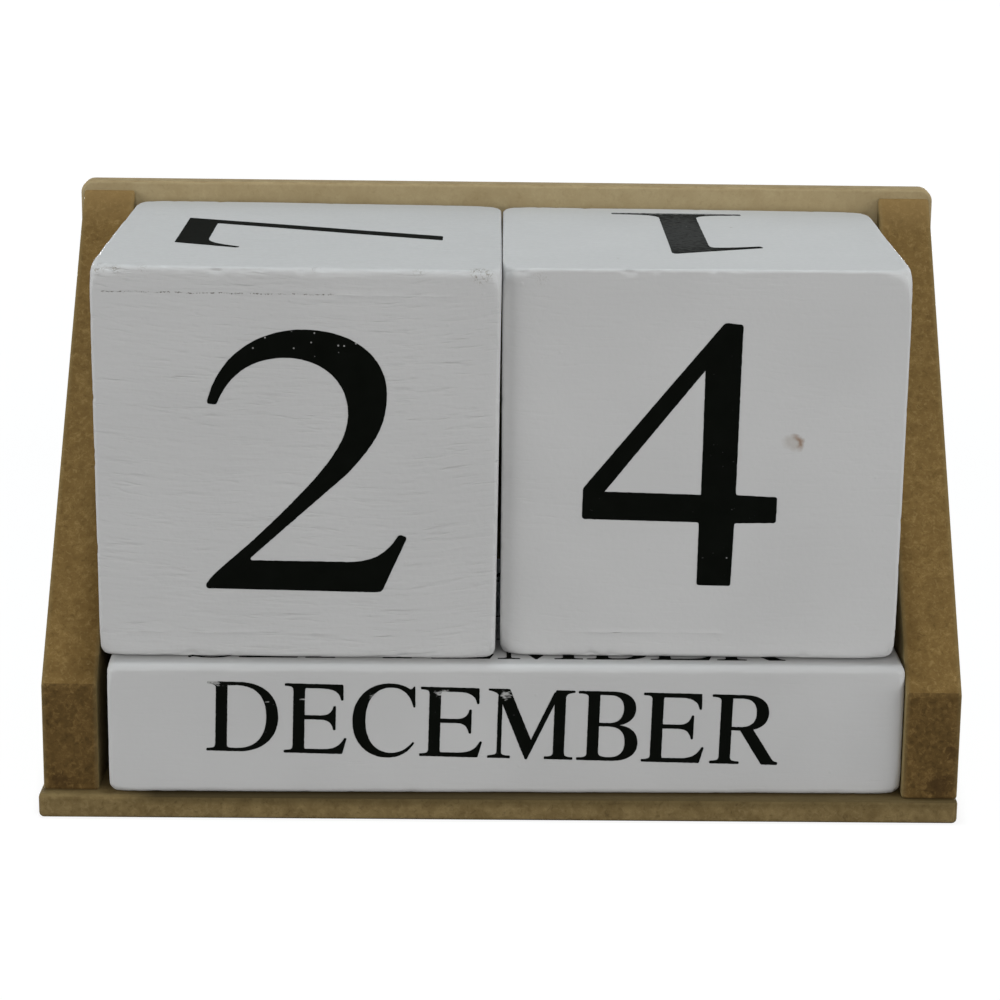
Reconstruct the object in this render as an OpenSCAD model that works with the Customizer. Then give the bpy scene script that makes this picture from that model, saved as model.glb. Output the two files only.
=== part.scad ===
// Wooden perpetual calendar: two day cubes stand on three month bars in an open-fronted stand.
// The stand's front faces -Y, +Z is up, and the origin is under the middle of the stand.

/* [Day cubes] */
// Width and depth of a cube, outside
cube_side = 64; // [50:0.5:80]
// Height of a cube as it stands, a little under its width
cube_height = 63.5; // [50:0.5:80]
// Thickness of the boards that a cube is glued up from
cube_board = 4; // [3:0.5:8]
// Radius of a cube's sanded edges
cube_edge = 1.6; // [0.4:0.1:2.8]
// Space between the two cubes
cube_gap = 0.6; // [0.3:0.1:2]
// Space between the left cube and the left side panel
left_cube_end_gap = 0.4; // [0.3:0.1:1.5]
// Space between the left cube and the back board
left_cube_back_gap = 0.6; // [0.3:0.1:4]
// Space between the right cube and the back board
right_cube_back_gap = 0.3; // [0.3:0.1:4]

/* [Month bars] */
// Width and height of a bar
bar_side = 21.8; // [14:0.2:30]
// Length of a bar
bar_length = 128.6; // [90:0.2:180]
// Radius of a bar's sanded edges
bar_edge = 1.5; // [0.4:0.1:3]
// Space between neighbouring bars
bar_gap = 0.4; // [0.3:0.1:2]
// Space between the rear bar and the back board
rear_bar_gap = 0.4; // [0.3:0.1:5]
// Angle that the front bar lies skewed at, with its right end set back
front_bar_skew = 1.3; // [0:0.1:3]
// How far the skewed front bar's leading corner stands ahead of the side panels
front_bar_lead = 0.8; // [0:0.1:0.9]
// Space between the front bar's right end and the right side panel
front_bar_end_gap = 0.3; // [0.3:0.1:1.5]
// Room under each bar and each cube, so that it slides and lifts freely
slide_gap = 0.1; // [0.05:0.05:0.3]

/* [Stand] */
// Thickness of the base board
base_thick = 4; // [3:0.5:10]
// Thickness of the back board
back_thick = 4; // [3:0.5:10]
// Thickness of a side panel
side_thick = 9; // [6:0.5:16]
// Room for the blocks at each end of the tray
side_play = 0.9; // [0.8:0.1:4]
// How far the base and back boards stand out past each side panel
side_inset = 0.6; // [0:0.1:3]
// How far the base board stands out in front of the side panels
base_lip = 1; // [1:0.1:6]
// Height of the back board above the cubes
back_rise = 4; // [0:0.2:20]
// Height of the back board above the side panels' rear corners
side_drop = 1.5; // [0:0.1:10]
// Height of a side panel's upright front edge
side_nose = 17.7; // [8:0.2:40]
// Radius of the back board's top corners
back_corner = 2.2; // [0.5:0.1:6]
// Radius of the base board's front corners
base_corner = 1; // [0.5:0.1:6]

/* [Brads] */
// Diameter of a brad's shank
brad_shank = 1.2; // [0.8:0.1:2]
// Diameter of a brad's head
brad_head = 2.2; // [2.1:0.1:4]
// Thickness of a brad's head
brad_head_thick = 0.7; // [0.4:0.1:1.2]
// Length of a brad under its head
brad_length = 15; // [10:0.5:20]
// Length of a brad's point
brad_point = 1.8; // [1:0.1:3]
// Depth that a brad's head is set below the board's face
brad_set = 0.3; // [0:0.1:1]
// Distance of the outermost brads from the ends of a joint
brad_margin = 12; // [6:0.5:20]
// Distance that the base's and the back's brads are set apart across a side panel
brad_stagger = 2.4; // [2:0.1:3]
// Number of brads up through the base into each side panel
base_brad_count = 2; // [2:1:4]
// Number of brads through the back into each side panel
back_brad_count = 3; // [2:1:4]

/* [Hidden] */
$fn = 64;

paint_white = "#e9e9e6";
board_brown = "#a58d62";
brad_grey = "#8d8f92";

// Room that the skewed front bar takes along X and along Y
front_bar_span = bar_length*cos(front_bar_skew) + bar_side*sin(front_bar_skew);
front_bar_room = bar_side*cos(front_bar_skew) + bar_length*sin(front_bar_skew);

// Inside of the tray, from side panel to side panel and from the panels' front to the back board
tray_w = max(front_bar_span, 2*cube_side + cube_gap) + 2*side_play;
bars_room = front_bar_room - front_bar_lead + 2*(bar_gap + bar_side) + rear_bar_gap;
cubes_room = cube_side + max(left_cube_back_gap, right_cube_back_gap);
tray_d = max(bars_room, cubes_room);

// Outside of the stand
stand_w = tray_w + 2*(side_thick + side_inset);
stand_d = base_lip + tray_d + back_thick;

// Places along Y, from the front to the back
base_front = -stand_d/2;
side_front = base_front + base_lip;
tray_back = side_front + tray_d;
stand_back = tray_back + back_thick;
front_bar_y = side_front - front_bar_lead + front_bar_room/2;
rear_bar_y = tray_back - rear_bar_gap - bar_side/2;
middle_bar_y = rear_bar_y - bar_side - bar_gap;
left_cube_y = tray_back - left_cube_back_gap - cube_side/2;
right_cube_y = tray_back - right_cube_back_gap - cube_side/2;

// Places along X
tray_right = tray_w/2;
side_middle = tray_right + side_thick/2;
front_bar_x = tray_right - front_bar_end_gap - front_bar_span/2;
left_cube_x = -tray_right + left_cube_end_gap + cube_side/2;
right_cube_x = left_cube_x + cube_side + cube_gap;

// Places along Z, from the base up
bar_z = base_thick + slide_gap;
cube_z = bar_z + bar_side + slide_gap;
stand_h = cube_z + cube_height + back_rise;
side_rear_top = stand_h - side_drop;
side_front_top = base_thick + side_nose;
side_slope = (side_rear_top - side_front_top)/tray_d;

// A cube's six boards: the top and bottom cover the whole square, the front and back run the whole
// width between them, and the left and right close the ends. Each is given by its low and high corners
// from the cube's middle, out to its outer faces and its ceiling or in to the boards' inner faces.
outer = cube_side/2;
inner = outer - cube_board;
ceiling = cube_height/2;
lining = ceiling - cube_board;
top_board = [[-outer, -outer, lining], [outer, outer, ceiling]];
bottom_board = [[-outer, -outer, -ceiling], [outer, outer, -lining]];
front_board = [[-outer, -outer, -lining], [outer, -inner, lining]];
rear_board = [[-outer, inner, -lining], [outer, outer, lining]];
left_board = [[-outer, -inner, -lining], [-inner, inner, lining]];
right_board = [[inner, -inner, -lining], [outer, inner, lining]];

// Brad places across a side panel, along the base joint and up the back joint
base_brad_x = side_middle - brad_stagger/2;
back_brad_x = side_middle + brad_stagger/2;
brad_tip = brad_set + brad_head_thick + brad_length;
base_brad_first = side_front + brad_margin;
base_brad_last = tray_back - brad_margin;
back_brad_first = base_thick + brad_margin;
back_brad_last = side_rear_top - brad_margin/2 - (brad_tip - back_thick)*side_slope;

// Places spread evenly from the first to the last
function spread(first, last, count) = [for (i = [0 : count - 1]) first + (last - first)*i/(count - 1)];

// Rectangle with round corners, centred on the origin
module rounded_rectangle(size, radius) {
    square([size.x - 2*radius, size.y], center = true);
    square([size.x, size.y - 2*radius], center = true);
    for (x = [-1, 1], y = [-1, 1])
        translate([x*(size.x/2 - radius), y*(size.y/2 - radius)]) circle(radius);
}

// Block with all its edges rounded over, centred on the origin
module sanded_block(size, radius) {
    intersection() {
        linear_extrude(size.z, center = true)
            rounded_rectangle([size.x, size.y], radius);
        rotate([90, 0, 0]) linear_extrude(size.y, center = true)
            rounded_rectangle([size.x, size.z], radius);
        rotate([90, 0, 90]) linear_extrude(size.x, center = true)
            rounded_rectangle([size.y, size.z], radius);
    }
}

// Month bar, lying along X with its middle over the origin
module month_bar() {
    translate([0, 0, bar_z + bar_side/2])
        sanded_block([bar_length, bar_side, bar_side], bar_edge);
}

// One board of a cube, cut from the sanded cube's outer form
module cube_piece(board) {
    intersection() {
        sanded_block([cube_side, cube_side, cube_height], cube_edge);
        translate(board[0]) cube(board[1] - board[0]);
    }
}

module left_cube(board) {
    color(paint_white) translate([left_cube_x, left_cube_y, cube_z + ceiling]) cube_piece(board);
}

module right_cube(board) {
    color(paint_white) translate([right_cube_x, right_cube_y, cube_z + ceiling]) cube_piece(board);
}

// Brad driven along +Z from the origin, which lies on the board's face; the room over its set-in
// head is part of the hole and not of the brad
module brad(with_room) {
    head_top = with_room ? 0 : brad_set;
    neck = brad_set + brad_head_thick;
    rotate_extrude() polygon([
        [0, head_top], [brad_head/2, head_top], [brad_head/2, neck], [brad_shank/2, neck],
        [brad_shank/2, brad_tip - brad_point], [0, brad_tip]
    ]);
}

module place_base_brads() {
    for (x = [-base_brad_x, base_brad_x], y = spread(base_brad_first, base_brad_last, base_brad_count))
        translate([x, y, 0]) children();
}

module place_back_brads() {
    for (x = [-back_brad_x, back_brad_x], z = spread(back_brad_first, back_brad_last, back_brad_count))
        translate([x, stand_back, z]) rotate([90, 0, 0]) children();
}

// Side panel's outline in its own plane, Y across and Z up: an upright nose, then one straight slope
module side_outline() {
    polygon([
        [side_front, base_thick], [side_front, side_front_top],
        [tray_back, side_rear_top], [tray_back, base_thick]
    ]);
}

// Side panel with its inner face at the tray's right side, drilled by the brads
module side_panel() {
    difference() {
        translate([tray_right, 0, 0]) rotate([90, 0, 90])
            linear_extrude(side_thick) side_outline();
        place_base_brads() brad(true);
        place_back_brads() brad(true);
    }
}

// Base board: square at the back, where it butts against the back board
module base_board() {
    color(board_brown) difference() {
        linear_extrude(base_thick) {
            translate([-stand_w/2, base_front + base_corner])
                square([stand_w, tray_back - base_front - base_corner]);
            translate([-stand_w/2 + base_corner, base_front])
                square([stand_w - 2*base_corner, 2*base_corner]);
            for (x = [-1, 1])
                translate([x*(stand_w/2 - base_corner), base_front + base_corner]) circle(base_corner);
        }
        place_base_brads() brad(true);
    }
}

// Back board: stands on the table behind the base and the side panels
module back_board() {
    color(board_brown) difference() {
        translate([0, stand_back, 0]) rotate([90, 0, 0]) linear_extrude(back_thick) {
            translate([-stand_w/2, 0]) square([stand_w, stand_h - back_corner]);
            translate([-stand_w/2 + back_corner, stand_h - 2*back_corner])
                square([stand_w - 2*back_corner, 2*back_corner]);
            for (x = [-1, 1])
                translate([x*(stand_w/2 - back_corner), stand_h - back_corner]) circle(back_corner);
        }
        place_back_brads() brad(true);
    }
}

module left_side_panel() { color(board_brown) mirror([1, 0, 0]) side_panel(); }
module right_side_panel() { color(board_brown) side_panel(); }
module base_brads() { color(brad_grey) place_base_brads() brad(false); }
module back_brads() { color(brad_grey) place_back_brads() brad(false); }

module front_month_bar() {
    color(paint_white) translate([front_bar_x, front_bar_y, 0]) rotate(front_bar_skew) month_bar();
}
module middle_month_bar() { color(paint_white) translate([0, middle_bar_y, 0]) month_bar(); }
module rear_month_bar() { color(paint_white) translate([0, rear_bar_y, 0]) month_bar(); }

module left_cube_top() { left_cube(top_board); }
module left_cube_bottom() { left_cube(bottom_board); }
module left_cube_front() { left_cube(front_board); }
module left_cube_back() { left_cube(rear_board); }
module left_cube_left() { left_cube(left_board); }
module left_cube_right() { left_cube(right_board); }

module right_cube_top() { right_cube(top_board); }
module right_cube_bottom() { right_cube(bottom_board); }
module right_cube_front() { right_cube(front_board); }
module right_cube_back() { right_cube(rear_board); }
module right_cube_left() { right_cube(left_board); }
module right_cube_right() { right_cube(right_board); }

base_board();
back_board();
left_side_panel();
right_side_panel();
base_brads();
back_brads();
front_month_bar();
middle_month_bar();
rear_month_bar();
left_cube_top();
left_cube_bottom();
left_cube_front();
left_cube_back();
left_cube_left();
left_cube_right();
right_cube_top();
right_cube_bottom();
right_cube_front();
right_cube_back();
right_cube_left();
right_cube_right();
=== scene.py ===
import math
import bmesh
import bpy
from mathutils import Matrix, Vector, noise
from mathutils.geometry import delaunay_2d_cdt


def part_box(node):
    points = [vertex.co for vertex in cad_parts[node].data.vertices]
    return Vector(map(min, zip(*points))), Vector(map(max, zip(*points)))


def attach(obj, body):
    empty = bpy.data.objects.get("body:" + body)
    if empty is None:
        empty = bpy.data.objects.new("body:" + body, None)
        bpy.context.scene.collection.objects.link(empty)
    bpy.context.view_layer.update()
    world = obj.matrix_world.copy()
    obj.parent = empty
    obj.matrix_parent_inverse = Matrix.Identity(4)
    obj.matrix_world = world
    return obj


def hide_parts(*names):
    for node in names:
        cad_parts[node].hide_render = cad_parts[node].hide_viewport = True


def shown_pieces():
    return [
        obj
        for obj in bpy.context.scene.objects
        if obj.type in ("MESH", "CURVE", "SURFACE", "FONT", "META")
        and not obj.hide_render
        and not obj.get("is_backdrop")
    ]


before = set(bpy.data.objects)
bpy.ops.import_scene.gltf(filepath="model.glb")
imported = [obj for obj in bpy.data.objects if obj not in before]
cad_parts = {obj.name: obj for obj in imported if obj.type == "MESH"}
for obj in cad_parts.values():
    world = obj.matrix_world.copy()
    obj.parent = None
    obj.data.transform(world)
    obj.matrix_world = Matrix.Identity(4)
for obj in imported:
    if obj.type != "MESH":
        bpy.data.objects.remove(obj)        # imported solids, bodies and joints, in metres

scene = bpy.context.scene
noise.seed_set(1)        # noise vectors are seeded by the clock otherwise
mm = 0.001
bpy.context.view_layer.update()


def linearColor(hexText):
    # sRGB hex to the linear values that shader sockets take
    shares = [int(hexText[i:i + 2], 16) / 255 for i in (1, 3, 5)]
    return [s / 12.92 if s <= 0.04045 else ((s + 0.055) / 1.055) ** 2.4 for s in shares] + [1.0]


def fillInputs(tree, node, inputs):
    # links or fills the inputs that a node has open, given in order or by name
    sockets = [s for s in node.inputs if s.enabled]
    for key, value in inputs.items() if isinstance(inputs, dict) else enumerate(inputs):
        socket = sockets[key] if isinstance(key, int) else next(s for s in sockets if s.name == key)
        if isinstance(value, bpy.types.Node):
            value = next(s for s in value.outputs if s.enabled)
        if isinstance(value, bpy.types.NodeSocket):
            tree.links.new(value, socket)
        else:
            socket.default_value = value


def addTo(tree):
    # gives the function that adds one node to a tree, with its inputs and settings
    def add(kind, inputs=(), **settings):
        node = tree.nodes.new(kind if "Node" in kind else "ShaderNode" + kind)
        for key, value in settings.items():
            setattr(node, key, value)
        fillInputs(tree, node, inputs)
        return node
    return add


def emptyTree(owner):
    owner.use_nodes = True
    owner.node_tree.nodes.clear()
    return addTo(owner.node_tree)


def startMaterial(name):
    material = bpy.data.materials.new(name)
    add = emptyTree(material)
    return material, add, add("TexCoord").outputs["Object"]


def finishMaterial(add, ground, layers, heights, surface):
    # tints laid over the ground by their shares, heights summed to a relief in mm, then the surface
    tone = linearColor(ground)
    for share, tint in layers:
        tone = add("Mix", [share, tone, linearColor(tint)], data_type="RGBA")
    relief = 0.0
    for height, depth in heights:
        relief = add("Math", [height, depth, relief], operation="MULTIPLY_ADD")
    bump = add("Bump", {"Strength": 1.0, "Distance": mm, "Height": relief})
    shader = add("BsdfPrincipled", {"Base Color": tone, "Normal": bump, **surface})
    add("OutputMaterial", {"Surface": shader})


def seenShare(add):
    # one where a thing is seen itself or mirrored, nought where it lights another
    rays = add("LightPath").outputs
    seen = add("Math", [rays["Is Camera Ray"], rays["Is Glossy Ray"]], operation="MAXIMUM")
    return add("Math", [seen, rays["Is Transmission Ray"]], operation="MAXIMUM")


def spotPlace(add, place, spot, size, turn=0):
    # place as seen from a spot in metres, in half sizes of an ellipsoid in mm, and how far off it is
    near = add("Mapping", {"Vector": place, "Location": spot, "Rotation": (0, math.radians(turn), 0),
                           "Scale": Vector(size) * mm}, vector_type="TEXTURE")
    return near, add("VectorMath", [near], operation="LENGTH").outputs["Value"]


def middleLines(add, pattern, wide, thin, share):
    # thin bent lines where a noise crosses its middle value
    off = add("Math", [pattern, 0.5], operation="SUBTRACT")
    off = add("Math", [off], operation="ABSOLUTE")
    return add("MapRange", [off, wide, thin, 0.0, share])


# Camera, at the photograph's viewing angle
cameraSetup = {
    "place": (-0.59, -529.58, 176.19),     # mm
    "down": 15.666,                        # degrees below level
    "right": 0.020,
    "roll": 0.636,
    "focal": 115.25,                       # mm on the sensor below
    "sensor": 36,
    "shiftUp": 0.095,
}
cameraData = bpy.data.cameras.new("camera")
cameraData.sensor_width = cameraSetup["sensor"]
cameraData.lens = cameraSetup["focal"]
cameraData.shift_y = cameraSetup["shiftUp"]
camera = bpy.data.objects.new("camera", cameraData)
scene.collection.objects.link(camera)
cameraTurn = (
    Matrix.Rotation(math.radians(-cameraSetup["right"]), 4, "Z")
    @ Matrix.Rotation(math.radians(90 - cameraSetup["down"]), 4, "X")
    @ Matrix.Rotation(math.radians(cameraSetup["roll"]), 4, "Z")
)
camera.matrix_world = Matrix.Translation(Vector(cameraSetup["place"]) * mm) @ cameraTurn
scene.camera = camera
scene.view_settings.view_transform = "Standard"
print("camera set")

# Studio light: a small box straight above, a wide one above the camera, long low ones behind and at the
# sides, where they catch the upright edges, and a pale room
lightSetup = {
    "aim": (0, 0, 55),
    "boxes": {
        "overhead": {"place": (0, 18, 1300), "size": (90, 90), "power": 7.4, "tint": "#f2fbff"},
        "leftSide": {"place": (-1020, -400, 90), "size": (900, 230), "power": 5.8, "tint": "#fdfeff"},
        "rightSide": {"place": (1000, -440, 90), "size": (900, 230), "power": 5.8, "tint": "#fdfeff"},
        "front": {"place": (40, -1360, 600), "size": (1000, 400), "power": 5.7, "tint": "#fffefe"},
        "rear": {"place": (0, 1400, 50), "size": (1500, 90), "power": 9.0, "tint": "#fffefe"},
    },
    "room": {"tint": "#ffffff", "strength": 0.14},
}
for lightName, spec in lightSetup["boxes"].items():
    lamp = bpy.data.lights.new(lightName + "Box", "AREA")
    lamp.shape = "RECTANGLE"
    lamp.size = spec["size"][0] * mm
    lamp.size_y = spec["size"][1] * mm
    lamp.energy = spec["power"]
    lamp.color = linearColor(spec["tint"])[:3]
    light = bpy.data.objects.new(lightName + "Box", lamp)
    scene.collection.objects.link(light)
    light.location = Vector(spec["place"]) * mm
    toward = Vector(lightSetup["aim"]) * mm - light.location
    light.rotation_euler = toward.to_track_quat("-Z", "Y").to_euler()

scene.world = bpy.data.worlds.new("room")
add = emptyTree(scene.world)
room = lightSetup["room"]
dim = add("Background", {"Color": linearColor(room["tint"]), "Strength": room["strength"]})
white = add("Background", {"Color": linearColor("#ffffff"), "Strength": 1.0})
add("OutputWorld", {"Surface": add("MixShader", [seenShare(add), dim, white])})

# White floor: plain matt paper to the light, lifted to white where the camera sees it
floorLook = {"half": 6000, "drop": 0.05, "paper": "#747474", "liftNear": 0.88, "liftFar": 0.97,
             "near": 250, "far": 1200}
floorMesh = bpy.data.meshes.new("floor")
reach = floorLook["half"] * mm
corners = [(-reach, -reach), (reach, -reach), (reach, reach), (-reach, reach)]
floorMesh.from_pydata([(x, y, -floorLook["drop"] * mm) for x, y in corners], [], [(0, 1, 2, 3)])
floor = bpy.data.objects.new("floor", floorMesh)
scene.collection.objects.link(floor)
floorPaper, add, place = startMaterial("mattPaper")
away = add("VectorMath", [place], operation="LENGTH").outputs["Value"]
lift = add("MapRange", [away, floorLook["near"] * mm, floorLook["far"] * mm,
                        floorLook["liftNear"], floorLook["liftFar"]])
lift = add("Math", [lift, seenShare(add)], operation="MULTIPLY")
paper = add("BsdfDiffuse", {"Color": linearColor(floorLook["paper"])})
glow = add("Emission", {"Color": linearColor("#ffffff"), "Strength": lift})
add("OutputMaterial", {"Surface": add("AddShader", [paper, glow])})
floorMesh.materials.append(floorPaper)
floor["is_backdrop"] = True
print("lights and floor set")


def paintMaterial(name, look, turned=False):
    # White emulsion brushed over sanded softwood: matt, the growth ridges and brush drags print through
    # as short ripples along the board, with a few nibs; dirt sits in chips at the glue lines and corners.
    material, add, place = startMaterial(name)
    noises = {
        key: add("TexNoise", {"Vector": place, "Scale": 1 / (look[key] * mm), **more}) for key, more in (
            ("sway", {"Detail": 1.0}), ("patch", {}), ("cloud", {}), ("peel", {}),
            ("speck", {"Detail": 3.0, "Roughness": 0.7}), ("crack", {"Detail": 1.0, "Distortion": 1.0}))}
    swayBy = look["swayBy"] * mm
    bent = add("VectorMath", [noises["sway"].outputs["Color"], (0.0, swayBy, swayBy), place],
               operation="MULTIPLY_ADD")
    # a sawn board's growth lines sag towards the middle of the face
    middle, sag = look["bow"]
    across = add("Math", [add("SeparateXYZ", [place]).outputs["X"], middle * mm], operation="SUBTRACT")
    across = add("Math", [across, across], operation="MULTIPLY")
    bent = add("VectorMath", [add("CombineXYZ", {"Z": across}), (0.0, 0.0, -sag / mm), bent],
               operation="MULTIPLY_ADD")
    longWay = 1 / (look["grainLength"] * mm)
    wideWay = 1 / (look["grainWidth"] * mm)
    scale = (wideWay, longWay, wideWay) if turned else (longWay, wideWay, wideWay)
    along = add("Mapping", {"Vector": bent, "Scale": scale})
    grain = add("TexNoise", {"Vector": along, "Scale": 1.0, "Distortion": 0.25})
    # open pores: short grooves along the grain, thick in some places and rare in others
    patch = add("MapRange", [noises["patch"], 0.4, 0.62, 0.15, 1.0])
    pore = add("Math", [add("MapRange", [grain, 0.45, 0.28]), patch], operation="MULTIPLY")
    # chips along the glue lines, from the board's own attribute
    seam = add("Attribute", attribute_name="seam").outputs["Fac"]
    broken = add("MapRange", [noises["speck"], 0.38, 0.64, 0.0, 1.3])
    broken = add("Math", [broken, seam], operation="MULTIPLY")
    chip = add("MapRange", [broken, 0.6, 0.95, 0.0, 0.8])
    # crazed paint where a corner was knocked
    scuff = add("Attribute", attribute_name="scuff").outputs["Fac"]
    crack = middleLines(add, noises["crack"], 0.035, 0.005, 1.0)
    crack = add("Math", [crack, scuff], operation="MULTIPLY")
    # nibs of grit: one cell in a few has its dot, some with dirt in it
    cells = add("TexVoronoi", {"Vector": place, "Scale": 1 / (look["nibSpacing"] * mm)}).outputs
    pick = add("SeparateXYZ", [cells["Color"]]).outputs
    nib = add("MapRange", [cells["Distance"], 0.13, 0.02], interpolation_type="SMOOTHSTEP")
    chosen = add("Math", [pick["X"], 1 - look["nibShare"]], operation="GREATER_THAN")
    nib = add("Math", [nib, chosen], operation="MULTIPLY")
    dirty = add("Math", [pick["Y"], 1 - look["dirtyShare"]], operation="GREATER_THAN")
    for share in (nib, look["nibDirt"]):
        dirty = add("Math", [dirty, share], operation="MULTIPLY")
    # slow drift of tone, then the marks over it
    drift = add("MapRange", [noises["cloud"], 0.38, 0.66])
    layers = [(drift, look["shade"]), (chip, look["dirt"]), (crack, look["crackTint"]),
              (dirty, look["crackTint"])]
    heights = [(grain, look["grainDepth"]), (pore, -look["poreDepth"]), (noises["peel"], look["peelDepth"]),
               (nib, look["nibDepth"]), (chip, -look["chipDepth"]), (crack, -look["crackDepth"])]
    if "knot" in look:
        # pin knot bleeding brown through the paint, with a brown crescent round its upper right
        knot = look["knot"]
        near, far = spotPlace(add, place, Vector(knot["place"]) * mm, knot["size"], knot["turn"])
        ragged = add("TexNoise", {"Vector": near, "Scale": 1.4})
        far = add("Math", [ragged, 0.7, far], operation="MULTIPLY_ADD")
        stain = add("MapRange", [far, 1.55, 0.95, 0.0, 0.45])
        across = add("VectorMath", [near, (0.8, 0.0, 0.45)], operation="DOT_PRODUCT").outputs["Value"]
        rim = add("MapRange", [far, 0.6, 1.05, 0.0, 2.2])
        for share in (stain, add("MapRange", [across, 0.0, 0.6])):
            rim = add("Math", [rim, share], operation="MULTIPLY")
        layers += [(stain, knot["stain"]), (rim, knot["rim"])]
        heights.append((stain, -knot["depth"]))
    dull = add("MapRange", [noises["peel"], 0.3, 0.7, 0.48, 0.62])
    finishMaterial(add, look["paint"], layers, heights, {"Roughness": dull, "IOR": 1.47})
    return material


def inkMaterial(name, look):
    # Black transfer print: flat and near matt, with pinholes where the paint shows through, and a
    # pale rub where one is given.
    material, add, place = startMaterial(name)
    cloud, peel = (add("TexNoise", {"Vector": place, "Scale": 1 / (look[key] * mm)})
                   for key in ("cloud", "peel"))
    pits = add("TexVoronoi", {"Vector": place, "Scale": 1 / (look["pitSpacing"] * mm)}).outputs
    hole = add("MapRange", [pits["Distance"], 0.19, 0.1, 0.0, 0.7])
    # few cells have their pinhole, more of them where a patch is given
    chosen = add("SeparateXYZ", [pits["Color"]]).outputs["X"]
    for spot, size, share in look.get("pitted", ()):
        near, far = spotPlace(add, place, spot, size)
        more = add("MapRange", [far, 1.0, 0.6, 0.0, share])
        chosen = add("Math", [chosen, more], operation="ADD")
    chosen = add("Math", [chosen, look["pitShare"]], operation="GREATER_THAN")
    bare = add("Math", [hole, chosen], operation="MULTIPLY")
    for spot, size, share in look.get("rubs", ()):
        # a rubbed patch: an ellipse broken into short drags along the bar, so many to a mm
        near, far = spotPlace(add, place, spot, size)
        drag = add("Mapping", {"Vector": place, "Scale": (1.1 / mm, 3.2 / mm, 3.2 / mm)})
        drag = add("TexNoise", {"Vector": drag, "Scale": 1.0, "Detail": 3.0, "Roughness": 0.65})
        worn = add("Math", [add("MapRange", [far, 1.0, 0.2, 0.0, 0.42]), drag], operation="ADD")
        worn = add("MapRange", [worn, 0.72, 0.9, 0.0, share])
        bare = add("Math", [bare, worn], operation="MAXIMUM")
    finishMaterial(add, look["ink"], [(cloud, look["thin"]), (bare, look["under"])], [(peel, look["depth"])],
                   {"Roughness": 0.85, "IOR": 1.45, "Specular IOR Level": 0.02})
    return material


def fibreboardMaterial(name, look):
    # Wood fibre pressed with resin, MDF: brown and felted with no rings; a face is smooth and even,
    # a sawn edge is darker and open, with pale torn fibres and dark pits.
    material, add, place = startMaterial(name)
    clump, flake, strand = (
        add("TexNoise", {"Vector": place, "Scale": 1 / (look[key] * mm), **more}) for key, more in (
            ("clump", {"Detail": 4.0, "Roughness": 0.62}),
            ("flake", {"Detail": 3.0, "Roughness": 0.6, "Distortion": 0.9}),
            ("strand", {"Detail": 1.0, "Distortion": 2.2})))
    body = add("MapRange", [clump, 0.34, 0.64])
    paler = add("MapRange", [flake, 0.54, 0.72, 0.0, look["flakeShare"]])
    pit = add("MapRange", [flake, 0.44, 0.3, 0.0, look["pitShare"]])
    # torn fibres, in tufts
    torn = middleLines(add, strand, 0.05, 0.012, look["strandShare"])
    torn = add("Math", [torn, add("MapRange", [clump, 0.5, 0.62])], operation="MULTIPLY")
    layers = [(body, look["body"]), (paler, look["pale"]), (pit, look["pit"]), (torn, look["pale"])]
    parts = add("SeparateXYZ", [place]).outputs
    if "skinAndShade" in look:
        # a band near the faces of a board: the denser skin of the MDF on the panels, and painted shadow of
        # the front bar on the base, kept to a stretch of its length where one is given
        skinAndShade = look["skinAndShade"]
        side = add("Math", [parts[skinAndShade["axis"]]], operation="ABSOLUTE")
        side = add("Math", [side, skinAndShade["middle"] * mm], operation="SUBTRACT")
        side = add("Math", [side], operation="ABSOLUTE")
        inside = (skinAndShade["half"] - skinAndShade["thick"]) * mm
        side = add("MapRange", [side, inside, skinAndShade["half"] * mm, 0.0, skinAndShade["share"]])
        # on the base the run keeps the painted shadow to the stretch under the front bar
        for begin, end, low, high in skinAndShade.get("run", ()):
            share = add("MapRange", [parts["X"], begin * mm, end * mm, low, high])
            side = add("Math", [side, share], operation="MULTIPLY")
        layers.append((side, skinAndShade["tint"]))
    for spot, size, share in look.get("stains", ()):
        # a dark patch with a ragged edge
        near, far = spotPlace(add, place, Vector(spot) * mm, size)
        far = add("Math", [flake, 1.2, far], operation="MULTIPLY_ADD")
        layers.append((add("MapRange", [far, 1.7, 1.0, 0.0, share]), look["stain"]))
    if "lighterTowardsTop" in look:
        # lighter towards the top
        lighterTowardsTop = look["lighterTowardsTop"]
        high = add("MapRange", [parts["Z"], lighterTowardsTop["low"] * mm, lighterTowardsTop["high"] * mm, 0.0, lighterTowardsTop["share"]])
        layers.append((high, lighterTowardsTop["tint"]))
    finishMaterial(add, look["dark"], layers, [(flake, look["depth"]), (torn, look["depth"] * 0.5)],
                   {"Roughness": look["roughness"], "IOR": 1.45, "Specular IOR Level": 0.15})
    return material


def makePiece(name, bm, materials, body, nodes):
    mesh = bpy.data.meshes.new(name)
    bm.to_mesh(mesh)
    bm.free()
    for material in materials:
        mesh.materials.append(material)
    piece = bpy.data.objects.new(name, mesh)
    scene.collection.objects.link(piece)
    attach(piece, body)
    if nodes:
        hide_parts(*nodes)
    return piece


sideWays = {        # axis and direction of each side of a block
    "top": (2, 1), "bottom": (2, -1), "front": (1, -1), "back": (1, 1), "left": (0, -1), "right": (0, 1),
}
waveLength = 26     # mm, of a block's slow waviness


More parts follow.
